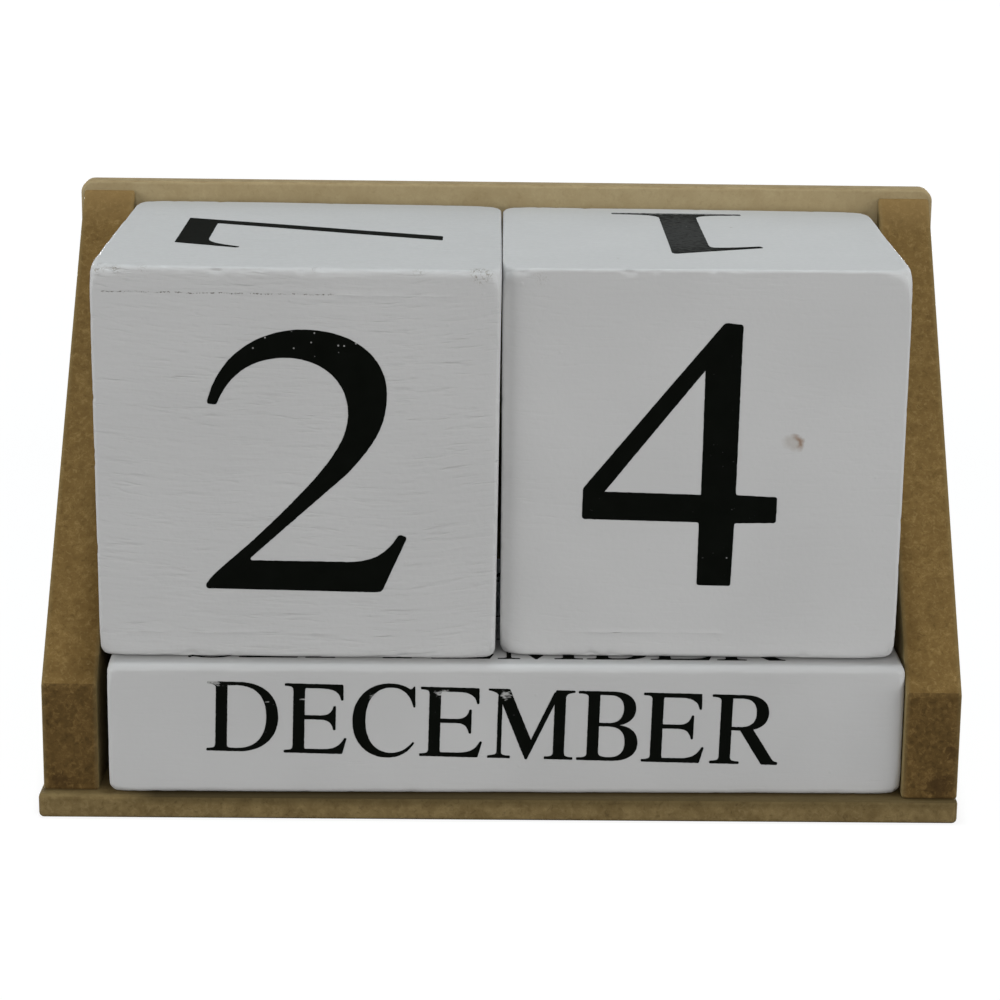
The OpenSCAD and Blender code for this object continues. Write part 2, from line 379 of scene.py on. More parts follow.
def seatOf(block):
    # from a block's own mm to its place in the frame: slow waviness, corners out of square, turn and shift
    half = Vector(block["size"]) / 2
    centre = Vector(block["centre"])
    turn = Matrix.Rotation(math.radians(block.get("skew", 0)), 3, "Z")
    moves = [([sideWays[word] for word in words.split()], Vector(offset))
             for words, offset in block.get("corners", {}).items()]
    width, depth = block.get("planed", (1, 0))

    def seat(p):
        share = [min(1, max(0, (p[a] / half[a] + 1) / 2)) for a in range(3)]
        q = p + noise.noise_vector(p / waveLength + centre) * block["waviness"]
        for ways, offset in moves:
            q += offset * math.prod(share[a] if sign > 0 else 1 - share[a] for a, sign in ways)
        if p.y < 0:
            # a front face planed away towards its left edge
            q.y += depth * max(0, 1 - (p.x + half.x) / width) ** 2 * min(1, -2 * p.y / half.y)
        return (turn @ q + centre) * mm
    return seat


# Stand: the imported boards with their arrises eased, faces and sawn edges told apart
thickFinish = ("thickFace", "thickNose", "thickSlope")
thickSkin = {"axis": "X", "middle": 69.93, "half": 4.5, "thick": 0.8, "share": 0.5}
stand = {
    "boards": {     # finish of the faces that look along X, along Y, and up or sloping
        "baseBoard": {"node": "base_board", "ease": 0.7, "finish": ("baseEdge", "baseEdge", "baseFace"),
                      "corners": {"left front": (0, -1.6, 0), "right": (-0.5, 0, 0)}},
        "backBoard": {"node": "back_board", "ease": 0.5, "finish": ("backEdge", "thinFace", "backEdge")},
        "leftSidePanel": {"node": "left_side_panel", "ease": 0.4, "finish": thickFinish},
        "rightSidePanel": {"node": "right_side_panel", "ease": 0.4, "finish": thickFinish},
    },
    "finishes": {
        "thinFace": {"body": "#ac9b76", "dark": "#a2906b", "pale": "#b9a983", "pit": "#8a7753", "clump": 6.0,
                     "flake": 0.9, "flakeShare": 0.3, "pitShare": 0.25, "strand": 1.4, "strandShare": 0.2,
                     "depth": 0.012, "roughness": 0.62},
        "backEdge": {"body": "#aa9670", "dark": "#9b8762", "pale": "#b8a781", "pit": "#7f6c4b", "clump": 4.0,
                     "flake": 0.8, "flakeShare": 0.35, "pitShare": 0.35, "strand": 1.2, "strandShare": 0.25,
                     "depth": 0.03, "roughness": 0.72},
        "baseFace": {"body": "#7d6b46", "dark": "#705f3c", "pale": "#8b7952", "pit": "#54462c", "clump": 5.0,
                     "flake": 0.9, "flakeShare": 0.3, "pitShare": 0.3, "strand": 1.3, "strandShare": 0.2,
                     "depth": 0.015, "roughness": 0.7,
                     # painted shadow of the front bar: a dark band along the front of the base's top, under
                     # the bar only
                     "skinAndShade": {"axis": "Y", "middle": 0.0, "half": 36.85, "thick": 9, "share": 0.95,
                              "tint": "#3a3019", "run": ((-62, -56, 0, 1), (-20, 60, 1, 0.6))}},
        "baseEdge": {"body": "#84714a", "dark": "#6f5d3a", "pale": "#94815a", "pit": "#4b3d26", "clump": 2.4,
                     "flake": 0.9, "flakeShare": 0.5, "pitShare": 0.5, "strand": 1.2, "strandShare": 0.3,
                     "depth": 0.05, "roughness": 0.78,
                     # darker top of the base's front edge under the front bar: partly the board's denser
                     # skin, mostly painted shadow of the bar
                     "skinAndShade": {"axis": "Z", "middle": 0.0, "half": 4.05, "thick": 1.9, "share": 0.95,
                              "tint": "#43381f", "run": ((-62, -56, 0, 1), (-20, 60, 1, 0.55))}},
        "thickFace": {"body": "#8b7b55", "dark": "#7d6d48", "pale": "#9b8b65", "pit": "#615231",
                      "clump": 7.0, "flake": 1.0, "flakeShare": 0.3, "pitShare": 0.3, "strand": 1.4,
                      "strandShare": 0.2, "depth": 0.012, "roughness": 0.6},
        "thickSlope": {"body": "#775e33", "dark": "#6b532b", "pale": "#937a4c", "pit": "#4f3c1b",
                       "clump": 1.9, "flake": 0.8, "flakeShare": 0.6, "pitShare": 0.45, "strand": 1.3,
                       "strandShare": 0.5, "depth": 0.04, "roughness": 0.75,
                       "skinAndShade": dict(thickSkin, tint="#85754f"),
                       "lighterTowardsTop": {"low": 86, "high": 93, "share": 0.7, "tint": "#957a4d"}},
        "thickNose": {"body": "#664f2a", "dark": "#564221", "pale": "#876c40", "pit": "#36280f",
                      "clump": 1.6, "flake": 0.8, "flakeShare": 0.7, "pitShare": 0.55, "strand": 1.3,
                      "strandShare": 0.35, "depth": 0.06, "roughness": 0.8,
                      "skinAndShade": dict(thickSkin, tint="#7b6b48"),
                      "stain": "#3a2811",
                      "stains": [((71.4, -36, 6.3), (2.4, 4, 2.6), 0.7),
                                 ((73.4, -36, 11.8), (1.3, 4, 1.7), 0.5),
                                 ((-71.4, -36, 5.4), (2.6, 4, 1.6), 0.5)]},
    },
    "sharp": 0.5,           # radians, an arris turns by more
    "shortLoop": 12,        # mm, a brad hole's rim is shorter and stays crisp
    "eased": 3e-6,          # square metres, the faces of an eased arris are smaller
    "facing": (0.72, 0.8),  # least share of a face's normal that makes it look along X, or along Y
}
standFinish = {key: fibreboardMaterial("fibreboard." + key, look) for key, look in stand["finishes"].items()}


def boardPiece(name, spec):
    bm = bmesh.new()
    bm.from_mesh(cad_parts[spec["node"]].data)
    bmesh.ops.remove_doubles(bm, verts=bm.verts, dist=1e-6)
    bmesh.ops.dissolve_limit(bm, angle_limit=math.radians(1), verts=bm.verts, edges=bm.edges)
    # the outline's arrises are long loops
    sharp = {edge for edge in bm.edges if edge.is_manifold and edge.calc_face_angle() > stand["sharp"]}
    outline = []
    while sharp:
        loop = [sharp.pop()]
        for edge in loop:
            for vert in edge.verts:
                for other in vert.link_edges:
                    if other in sharp:
                        sharp.remove(other)
                        loop.append(other)
        if sum(edge.calc_length() for edge in loop) > stand["shortLoop"] * mm:
            outline += loop
    bmesh.ops.bevel(bm, geom=outline, offset=spec["ease"] * mm, offset_type="OFFSET", segments=3,
                    profile=0.5, affect="EDGES", clamp_overlap=True)
    low, high = (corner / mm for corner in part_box(spec["node"]))
    middle = (low + high) / 2
    seat = seatOf({"size": high - low, "centre": middle, "waviness": 0, "corners": spec.get("corners", {})})
    for vert in bm.verts:
        vert.co = seat(vert.co / mm - middle)
    bm.normal_update()
    alongX, alongY = stand["facing"]
    for face in bm.faces:
        face.smooth = face.calc_area() < stand["eased"]
        way = [abs(part) for part in face.normal]
        face.material_index = 0 if way[0] > alongX else 1 if way[1] > alongY else 2
    makePiece(name, bm, [standFinish[key] for key in spec["finish"]], "stand", [spec["node"]])


for name, spec in stand["boards"].items():
    boardPiece(name, spec)
print("stand boards made")

# Brads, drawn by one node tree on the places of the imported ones
brads = {
    "sizes": {"Head radius": 1.1, "Head thick": 0.7, "Shank radius": 0.6, "Length": 15.0, "Point": 1.8},
    "rows": {"baseBrads": {"node": "base_brads", "drive": (180, 0, 0), "end": (2, 0)},
             "backBrads": {"node": "back_brads", "drive": (-90, 0, 0), "end": (1, 1)}},
    "steel": "#807e79", "rust": "#5f4d3c", "spots": 0.5, "spotDepth": 0.02,
}


def bradSteel(look):
    # Drawn steel wire brad: a plain grey metal, dulled, with a little brown tarnish on the head
    material, add, place = startMaterial("drawnSteel")
    spot = add("TexNoise", {"Vector": place, "Scale": 1 / (look["spots"] * mm), "Detail": 3.0})
    rust = add("MapRange", [spot, 0.5, 0.7, 0.0, 0.6])
    dull = add("MapRange", [spot, 0.0, 1.0, 0.5, 0.75])
    finishMaterial(add, look["steel"], [(rust, look["rust"])], [(spot, look["spotDepth"])],
                   {"Metallic": 1.0, "Roughness": dull})
    return material


def bradTree(look, steel):
    tree = bpy.data.node_groups.new("bradRow", "GeometryNodeTree")
    kinds = {"Places": "Geometry", **{label: "Float" for label in look["sizes"]}, "Drive": "Vector"}
    sockets = {}
    for label, kind in kinds.items():
        made = tree.interface.new_socket(label, in_out="INPUT", socket_type="NodeSocket" + kind)
        sockets[label] = made.identifier
    tree.interface.new_socket("Brads", in_out="OUTPUT", socket_type="NodeSocketGeometry")
    add = addTo(tree)
    given = add("NodeGroupInput").outputs
    head, thick, shank = (given[label] for label in ("Head radius", "Head thick", "Shank radius"))
    # depth below the head's crown and radius at each of six stations
    neck = add("Math", [thick, given["Length"]], operation="ADD")
    taper = add("Math", [neck, given["Point"]], operation="SUBTRACT")
    crown, under, flat, tip = (add("Math", [size, share], operation="MULTIPLY") for size, share in (
        (thick, 0.15), (thick, 1.1), (head, 0.8), (shank, 0.12)))
    station = add("GeometryNodeInputIndex")
    switches = []
    for values in ((0.0, crown, thick, under, taper, neck), (flat, head, head, shank, shank, tip)):
        switch = add("GeometryNodeIndexSwitch", data_type="FLOAT")
        while len(switch.index_switch_items) < len(values):
            switch.index_switch_items.new()
        fillInputs(tree, switch, [station, *values])
        switches.append(switch)
    depth, radius = switches
    spot = add("CombineXYZ", {"Z": add("Math", [depth, -1.0], operation="MULTIPLY")})
    line = add("GeometryNodeMeshLine", {"Count": 6})
    line = add("GeometryNodeSetPosition", {"Geometry": line, "Position": spot})
    wire = add("GeometryNodeMeshToCurve", {"Mesh": line})
    ring = add("GeometryNodeCurvePrimitiveCircle", {"Resolution": 24, "Radius": 1.0})
    shape = add("GeometryNodeCurveToMesh",
                {"Curve": wire, "Profile Curve": ring, "Scale": radius, "Fill Caps": True})
    turn = add("FunctionNodeEulerToRotation", {"Euler": given["Drive"]})
    row = add("GeometryNodeInstanceOnPoints",
              {"Points": given["Places"], "Instance": shape, "Rotation": turn})
    solid = add("GeometryNodeRealizeInstances", {"Geometry": row})
    finished = add("GeometryNodeSetMaterial", {"Geometry": solid, "Material": steel})
    add("NodeGroupOutput", {"Brads": finished})
    return tree, sockets


def islandBoxes(mesh):
    # low and high corners of each loose part
    bm = bmesh.new()
    bm.from_mesh(mesh)
    bmesh.ops.remove_doubles(bm, verts=bm.verts, dist=1e-6)
    waiting = set(bm.verts)
    boxes = []
    while waiting:
        part = [waiting.pop()]
        for vert in part:
            for edge in vert.link_edges:
                other = edge.other_vert(vert)
                if other in waiting:
                    waiting.remove(other)
                    part.append(other)
        boxes.append([Vector([pick(v.co[a] for v in part) for a in range(3)]) for pick in (min, max)])
    bm.free()
    return sorted(boxes, key=lambda box: tuple(box[0]))


steel = bradSteel(brads)
rowTree, rowSockets = bradTree(brads, steel)
for name, spec in brads["rows"].items():
    axis, side = spec["end"]
    points = []
    for box in islandBoxes(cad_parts[spec["node"]].data):
        head = (box[0] + box[1]) / 2
        head[axis] = box[side][axis]
        points.append(head)
    seedMesh = bpy.data.meshes.new(name + "Places")
    seedMesh.from_pydata(points, [], [])
    holder = bpy.data.objects.new(name + "Places", seedMesh)
    scene.collection.objects.link(holder)
    row = holder.modifiers.new("bradRow", "NODES")
    row.node_group = rowTree
    for label, size in brads["sizes"].items():
        row[rowSockets[label]] = size * mm
    row[rowSockets["Drive"]] = [math.radians(a) for a in spec["drive"]]
    made = holder.evaluated_get(bpy.context.evaluated_depsgraph_get())
    bm = bmesh.new()
    bm.from_mesh(bpy.data.meshes.new_from_object(made))
    holder.modifiers.remove(row)
    bpy.data.objects.remove(holder)
    bmesh.ops.recalc_face_normals(bm, faces=bm.faces)
    piece = makePiece(name, bm, [steel], "stand", [spec["node"]])
    piece.data.set_sharp_from_angle(angle=math.radians(35))
print("brads made")


def gridStops(length, radius, step, seams):
    # grid lines along one axis: even on the flat, closer over the rounded edge, and at the seams
    half = length / 2
    flat = length - 2 * radius
    count = max(2, round(flat / step))
    stops = [-half + radius + flat * i / count for i in range(count + 1)]
    for part in range(1, 6):
        over = radius * math.tan(math.radians(9 * part))
        stops += [half - radius + over, radius - half - over]
    clear, beside = 0.45, 0.35      # mm kept free round a seam, and its own lines to either side
    stops = [s for s in stops if all(abs(s - seam) > clear for seam in seams)]
    for seam in seams:
        stops += [seam - beside, seam, seam + beside]
    return sorted(stops)


edgeWear = {"long": 7, "short": 2.2, "shortShare": 0.4, "nick": 1.6, "nickLeast": 0.3}      # lengths in mm


def edgeRadius(block, half, p):
    # nearly sharp along the edges, rounder towards the corners and on the edges named as soft
    gaps = sorted((half[a] - abs(p[a]), a) for a in range(3))
    ways = {(a, -1 if p[a] < 0 else 1) for gap, a in gaps[:2]}
    radius = block["edge"]
    for words, soft in block["softEdges"].items():
        if {sideWays[word] for word in words.split()} == ways:
            radius = soft
    radius += (block["cornerEdge"] - radius) * math.exp(-(gaps[2][0] / block["cornerReach"]) ** 2)
    # slow wear, with a nick here and there
    worn = noise.noise(p / edgeWear["long"]) + edgeWear["shortShare"] * noise.noise(p / edgeWear["short"])
    nick = max(0, noise.noise(p / edgeWear["nick"]) - edgeWear["nickLeast"]) * block["nick"]
    return radius * (1 + block["edgeWear"] * worn) + nick


def roundedBlock(block, step, seams=((), (), ())):
    # closed grid over a box with worn round edges and corners, in mm from its middle
    size = block["size"]
    half = [length / 2 for length in size]
    stops = [gridStops(size[a], block["edge"], step, seams[a]) for a in range(3)]
    bm = bmesh.new()
    found = {}

    def corner(index):
        if index not in found:
            p = Vector([stops[a][index[a]] for a in range(3)])
            worn = edgeRadius(block, half, p)
            q = Vector([max(worn - half[a], min(half[a] - worn, p[a])) for a in range(3)])
            found[index] = bm.verts.new(q + (p - q).normalized() * worn)
        return found[index]

    for axis in range(3):
        u, v = (axis + 1) % 3, (axis + 2) % 3
        for side in (0, len(stops[axis]) - 1):
            for i in range(len(stops[u]) - 1):
                for j in range(len(stops[v]) - 1):
                    ring = []
                    for di, dj in ((0, 0), (1, 0), (1, 1), (0, 1)):
                        index = [0, 0, 0]
                        index[axis], index[u], index[v] = side, i + di, j + dj
                        ring.append(corner(tuple(index)))
                    bm.faces.new(ring if side else ring[::-1]).smooth = True
    bm.normal_update()
    return bm


# Glyphs for the prints, own drawings: Bezier outlines, a leading minus cuts a counter. The numerals are
# drawn in mm on a 43 mm height, the capitals on a height of 100.
numeralShapes = {
    "0": ["M 15.6 43.9 C 25 43.9 31.2 35 31.2 21.6 C 31.2 8.2 25 -0.7 15.6 -0.7 C 6.2 -0.7 0 8.2 0 21.6"
          " C 0 35 6.2 43.9 15.6 43.9",
          "-M 15.6 42.2 C 20.6 42.2 24.2 35 24.2 21.6 C 24.2 8.2 20.6 1 15.6 1 C 10.6 1 7 8.2 7 21.6"
          " C 7 35 10.6 42.2 15.6 42.2"],
    "1": ["M 0 0 L 21.8 0 L 21.8 1.3 C 16.4 1.6 14.1 2.3 14 5.2 L 14 41.2 L 13.5 42.2 L -0.8 35.8"
          " L -0.3 34.3"
          " C 3 35.5 5 36 6.4 36 C 7.6 36 7.8 35.2 7.8 33.2 L 7.8 5.2 C 7.7 2.3 5.4 1.6 0 1.3"],
    "2": ["M 0.8 31 C 2.4 38.5 8.6 43.25 16.4 43.25 C 24.2 43.25 29.4 38.9 29.4 32.9"
          " C 29.4 28.2 27.9 24.9 22.9 19.5"
          " L 7.4 5.4 L 7.6 5.1 L 22.9 5 C 27.2 5 29.4 6.2 31.5 9.7 L 32.8 9.2 L 29 0.5"
          " C 28.8 0 28.3 -0.1 27.6 -0.1"
          " L 0.7 0.3 C 0.2 0.3 0.1 0.8 0.4 1.3 C 1.4 2.8 4.1 5 7.3 7.9 C 10.9 11.3 14.7 15.1 18.2 19.2"
          " C 21.8 23.7 23.2 26.4 23.2 29.7 C 23.2 35 19 38.6 13.4 38.6 C 8.2 38.6 4.3 35.9 2.3 30.8"],
    "3": ["M 1.2 34 C 3.4 40.4 8.2 43.9 14.6 43.9 C 21.6 43.9 26.2 39.9 26.2 34.2"
          " C 26.2 29.8 23.6 26.6 19.2 24.6"
          " C 25.2 23 28.6 19.2 28.6 13.6 C 28.6 5.2 21.6 -0.6 11.4 -0.6 C 4.2 -0.6 0 1.4 0 4.6"
          " C 0 6.6 1.4 8 3.6 8"
          " C 7 8 8.4 2.2 13.8 2.2 C 18.8 2.2 22.2 6.2 22.2 12 C 22.2 18.6 17.8 22.2 9.6 22.4 L 9.6 23.6"
          " C 16.8 24.6 20.4 28 20.4 32.8 C 20.4 37 17.4 39.8 13 39.8 C 8.6 39.8 5.2 37.6 2.4 33.4"],
    "4": ["M 22 43.2 L 24.9 42.9 L 24.5 15.1 L 31.2 14.8 L 31.1 10.5 L 24.4 10.4 L 24.1 -0.1 L 18.6 0"
          " L 18.7 10.5"
          " L 0.4 10.9 C 0 10.9 -0.2 11.1 -0.2 11.5 L -0.1 16",
          "-M 3.4 15.5 L 18.9 15.1 L 19.1 35.5"],
    "5": ["M 8.2 43.2 L 27.6 43.2 L 24.8 37.4 L 10.6 37.4 L 8.8 32.2 C 21 31 28.8 24.4 28.8 14.6"
          " C 28.8 5.4 21.4 -0.6 10.8 -0.6 C 4 -0.6 0 1.6 0 4.8 C 0 6.8 1.6 8.2 3.8 8.2"
          " C 7.4 8.2 8.6 2.4 13.4 2.4"
          " C 18.6 2.4 22.2 6.6 22.2 12.8 C 22.2 20.6 15.8 25.2 3.4 25.6 L 2.4 26.8"],
    "6": ["M 27.8 43.9 L 28 42.6 C 17 39.4 10.2 33 8.2 23.8 C 10.6 25.6 13.4 26.5 16.6 26.5"
          " C 24 26.5 29.2 21.4 29.2 13.6"
          " C 29.2 5.2 23.2 -0.7 14.8 -0.7 C 5.6 -0.7 0 6.2 0 16.4 C 0 30.2 10.4 41 27.8 43.9",
          "-M 13.6 24 C 11.2 24 9.2 23 7.6 21.2 C 7.2 18.8 7 16.6 7 14.4 C 7 6.2 9.8 1.2 15 1.2"
          " C 19.6 1.2 22.4 5.4 22.4 12.4 C 22.4 19.8 19.2 24 13.6 24"],
    "7": ["M 4 43.3 L 28.5 43.3 L 13.9 0 L 10 0 L 23.4 38.1 L 8.6 38.1 C 5.2 38.1 3.6 37 0.9 32.4"
          " L 0 32.8"],
    "8": ["M 15 43.9 C 21.8 43.9 26.6 39.4 26.6 33.4 C 26.6 28.6 23.6 25.6 19.6 23.2"
          " C 25.2 20.2 28.8 16.6 28.8 11.2"
          " C 28.8 4.2 22.9 -0.6 14.8 -0.6 C 6.9 -0.6 1.4 3.9 1.4 10.4 C 1.4 15.8 5 19.2 10.2 22"
          " C 6.2 24.6 3.8 27.9 3.8 32.6 C 3.8 39.2 8.4 43.9 15 43.9",
          "-M 15.2 42.2 C 11.4 42.2 9 39.4 9 35.4 C 9 30.8 12.6 27.6 17.8 24.4"
          " C 20.8 26.9 21.9 29.6 21.9 33.4"
          " C 21.9 38.8 19.4 42.2 15.2 42.2",
          "-M 12 20.8 C 8.6 18.2 7.2 15 7.2 10.8 C 7.2 5 10.4 1.2 15.2 1.2 C 19.8 1.2 22.8 4.2 22.8 8.6"
          " C 22.8 13.6 18.4 17 12 20.8"],
}


def stem(left, right, low=0, high=100, foot=True, head=True, reach=12.5):
    # upright stroke with thin bracketed serifs at its foot and head
    a, b = left - reach, right + reach
    path = f"M {left} {low} L {right} {low}"
    if foot:
        path = (f"M {left} {low + 11} C {left} {low + 5} {left - 2} {low + 4.6} {a} {low + 4}"
                f" L {a} {low} L {b} {low} L {b} {low + 4}"
                f" C {right + 2} {low + 4} {right} {low + 5} {right} {low + 11}")
    if head:
        return path + (f" L {right} {high - 11} C {right} {high - 5} {right + 2} {high - 4} {b} {high - 4}"
                       f" L {b} {high} L {a} {high} L {a} {high - 4}"
                       f" C {left - 2} {high - 4} {left} {high - 5} {left} {high - 11}")
    return path + f" L {right} {high} L {left} {high}"


topArm = "M 20 100 L 83 100 L 83.6 77 L 80 77 C 78 89 70 93.6 52 93.6 L 20 93.6"
middleArm = ("M 24 55 L 50 55 C 62 55 67.5 58.5 69.5 69 L 73 69 L 73 34 L 69.5 34"
             " C 67.5 45 62 48.8 50 48.8 L 24 48.8")
bottomArm = "M 20 0 L 83 0 L 89 23 L 85.6 23.6 C 79.5 11.5 72 6.4 52 6.4 L 20 6.4"
upperBowl = ["M 22 100 L 48 100 C 70 100 83.3 91 83.3 74.5 C 83.3 58.5 71 49.5 50 48.6 L 22 48.6",
             "-M 31 94.6 L 45 94.6 C 58 94.6 65.5 88 65.5 74 C 65.5 60 57.5 53.8 43 53.8 L 31 53.8"]
letterShapes = {
    "A": ["M 0 0 L 30 0 L 30 3.4 C 22 3.8 20 6 21.5 11 L 27.5 27.5 L 59 27.5 L 65 11"
          " C 66.8 6 64 3.8 57 3.4 L 57 0"
          " L 97 0 L 97 3.4 C 90 3.8 87 6 84.5 12.5 L 52.5 101 L 48 101 L 16 14 C 13 6.5 9 3.8 0 3.4",
          "-M 29.5 32.6 L 57 32.6 L 43.5 71"],
    "B": [stem(14.5, 31, reach=14.5),
          "M 22 100 L 50 100 C 70 100 82.4 91.5 82.4 76 C 82.4 62.5 73 54.5 60 52"
          " C 77 50 86.5 41 86.5 26.5"
          " C 86.5 9 72 0 49 0 L 22 0",
          "-M 31 94.6 L 45 94.6 C 58 94.6 65 88 65 75.5 C 65 61 57 54.8 44 54.8 L 31 54.8",
          "-M 31 49.6 L 44 49.6 C 60 49.6 68 41.5 68 27 C 68 12 60 5.4 46 5.4 C 35 5.4 31 6.5 31 13"],
    "C": ["M 85.5 100 L 88 100 L 88.7 69.5 L 85.8 69.5 C 82 87 71 97.5 55 97.5 C 32 97.5 18.5 79 18.5 50"
          " C 18.5 21 33 3.6 55 3.6 C 68 3.6 78 9.5 86.3 20.5 L 88.7 18.6 C 80 4.5 67 -3.5 50 -3.5"
          " C 20 -3.5 0 18.5 0 49.5 C 0 81 22 103.5 53 103.5 C 66 103.5 76 99.5 80.5 96"
          " C 83 95.8 84.6 97.5 85.5 100"],
    "D": [stem(12.5, 29),
          "M 20 100 L 46 100 C 80 100 101 81 101 50.5 C 101 19 78 0 44 0 L 20 0",
          "-M 29 94.6 L 42 95 C 70 95 84 79 84 50 C 84 21 69 5 42 5 L 37 5 C 31 5 29 6 29 10"],
    "E": [stem(12.5, 29), topArm, middleArm, bottomArm],
    "F": [stem(12.5, 29), topArm, middleArm],
    "G": ["M 85 100 L 87.5 100 L 88.2 70 L 85.3 70 C 81.5 87 70.5 97.5 55 97.5 C 32 97.5 18.5 79 18.5 50"
          " C 18.5 21 32 2.6 54 2.6 C 62 2.6 68 4.5 72 7.5 L 88 6 C 78 0 66 -3.5 52 -3.5"
          " C 20 -3.5 0 18.5 0 49.5"
          " C 0 81 22 103.5 53 103.5 C 66 103.5 76 99.5 80.5 96 C 83 95.8 84.2 97.5 85 100",
          stem(72, 88, low=4, high=42, foot=False, reach=10)],
    "H": [stem(12.5, 29), stem(78, 94.5), "M 24 54.4 L 83 54.4 L 83 49.4 L 24 49.4"],
    "I": [stem(12.5, 29)],
    "J": [stem(26, 42.5, low=22, foot=False),
          "M 26 30 L 42.5 30 L 42.5 24 C 42.5 6 32 -3 18 -3 C 7 -3 0 3 0 11 C 0 16.5 3.5 20 8.5 20"
          " C 13.5 20 16.5 16.8 16.5 12.4 C 16.5 8 13 7.4 13 4.4 C 13 2.6 15 1.6 17.5 1.6"
          " C 23.5 1.6 26 8 26 24"],
    "L": [stem(12.5, 29), bottomArm],
    "M": [stem(14, 20.4, head=False, high=92, reach=13),
          "M 0 96.8 L 0 100 L 30.5 100 L 64 24 L 57.6 -1 L 54.6 -1 L 15 90 C 12 95 7 96.4 0 96.8",
          "M 54.8 -1 L 57.4 -1 L 98 88 L 94 98 L 57.5 17",
          stem(94, 110, head=False, high=97),
          "M 91 86 L 96 100 L 123 100 L 123 96.6 C 115 96.4 110.4 95 110 88"],
    "N": [stem(13, 18.5, head=False, high=90), stem(82, 87.5, low=20, foot=False),
          "M 0 96.8 L 0 100 L 29 100 L 87.5 24 L 87.5 -2 L 83 -2 L 15 88 C 11 94 6 96.4 0 96.8"],
    "O": ["M 50 103.5 C 80 103.5 100 81 100 50 C 100 19 80 -3.5 50 -3.5 C 20 -3.5 0 19 0 50"
          " C 0 81 20 103.5 50 103.5",
          "-M 50 98.5 C 70 98.5 81.5 80 81.5 50 C 81.5 20 70 1.5 50 1.5 C 30 1.5 18.5 20 18.5 50"
          " C 18.5 80 30 98.5 50 98.5"],
    "P": [stem(14.5, 31, reach=13), *upperBowl],
    "R": [stem(14.5, 31, reach=13), *upperBowl,
          "M 41 52 L 61 52 L 90 9.5 C 92.6 5.8 95.4 4.4 99 4 L 99 0 L 75.5 0"],
    "S": ["M 62 100 L 65 100 L 66 72 L 63 72 C 59 88 49 98.5 36 98.5 C 25 98.5 17.5 92 17.5 83"
          " C 17.5 73 24 68 40 60.5"
          " C 61 51 70.5 43.5 70.5 27.5 C 70.5 9 56.5 -3.5 36.5 -3.5 C 26 -3.5 17.5 0 12 3"
          " C 9.5 4.3 7.6 2.6 6.6 -2"
          " L 3.6 -2 L 0.6 31 L 3.6 31.5 C 9 13 20 1.5 35 1.5 C 47.5 1.5 56 8.5 56 19"
          " C 56 29 48.5 34.5 33 41.5"
          " C 12 51 3.5 59.5 3.5 74.5 C 3.5 92 17 103.5 35.5 103.5 C 44.5 103.5 51 101 55.5 98.5"
          " C 58.5 96.8 60.8 97.6 62 100"],
    "T": [stem(36, 52.5, head=False, high=97),
          "M 4 100 L 84.5 100 L 88.5 75 L 85.5 74.6 C 82 88 74 94.4 60 94.4 L 28.5 94.4"
          " C 14.5 94.4 6.5 88 3 74.6 L 0 75"],
    "U": [stem(12.5, 29, low=36, foot=False), stem(77, 82.5, low=36, foot=False),
          "M 12.5 40 L 29 40 L 29 31 C 29 12 37 3 53 3 C 69 3 77 12.5 77 32 L 77 40 L 82.5 40 L 82.5 32"
          " C 82.5 9 70 -3.5 48 -3.5 C 25 -3.5 12.5 8 12.5 29"],
    "V": ["M 0 100 L 42 100 L 42 96.6 C 34 96.2 31 94 33.5 87 L 58 23 L 81 85"
          " C 83.8 92.5 80 96 70.5 96.6 L 70.5 100"
          " L 97 100 L 97 96.6 C 91 96 88.5 93 85.5 85 L 53.5 -2 L 49 -2 L 14.5 86"
          " C 11.5 93.5 7 96.2 0 96.6"],
    "Y": [stem(40, 56.5, high=46, head=False),
          "M 0 100 L 40 100 L 40 96.6 C 33 96.2 30.5 93.6 34 87 L 54 50 L 73 84"
          " C 77.5 92 74 96 64 96.6 L 64 100"
          " L 95 100 L 95 96.6 C 88.5 96 85 92.5 80 84 L 56.5 43 L 56.5 38 L 40 38 L 40 44 L 14 88"
          " C 10.5 94 6.5 96.2 0 96.6"],
}
# Fonts: how closely an outline is traced and how far the ink spreads in a corner, in units of the drawing
numeralFont = {"shapes": numeralShapes, "step": 0.5, "spread": 0.45}
letterFont = {"shapes": letterShapes, "step": 2.5, "spread": 1.8}
glyphStore = {}


def tracePath(text, step):
    # points along a closed outline, no further apart than the step
    words = text.lstrip("-").split()
    points = []
    i = 0
    while i < len(words):
        count = {"M": 1, "L": 1, "C": 3}[words[i]]
        given = [Vector((float(words[i + 1 + 2 * k]), float(words[i + 2 + 2 * k]))) for k in range(count)]
        if words[i] == "M":
            points.append(given[0])
        else:
            start = points[-1]
            length = (given[-1] - start).length
            parts = max(1 if count == 1 else 8, math.ceil(length / step))
            for k in range(1, parts + 1):
                t = k / parts
                if count == 1:
                    points.append(start.lerp(given[0], t))
                else:
                    points.append(start * (1 - t) ** 3 + given[0] * 3 * t * (1 - t) ** 2
                                  + given[1] * 3 * t * t * (1 - t) + given[2] * t ** 3)
        i += 1 + 2 * count
    if (points[0] - points[-1]).length < 1e-4:
        points.pop()
    else:
        parts = math.ceil((points[0] - points[-1]).length / step)
        points += [points[-1].lerp(points[0], k / parts) for k in range(1, parts)]
    return points


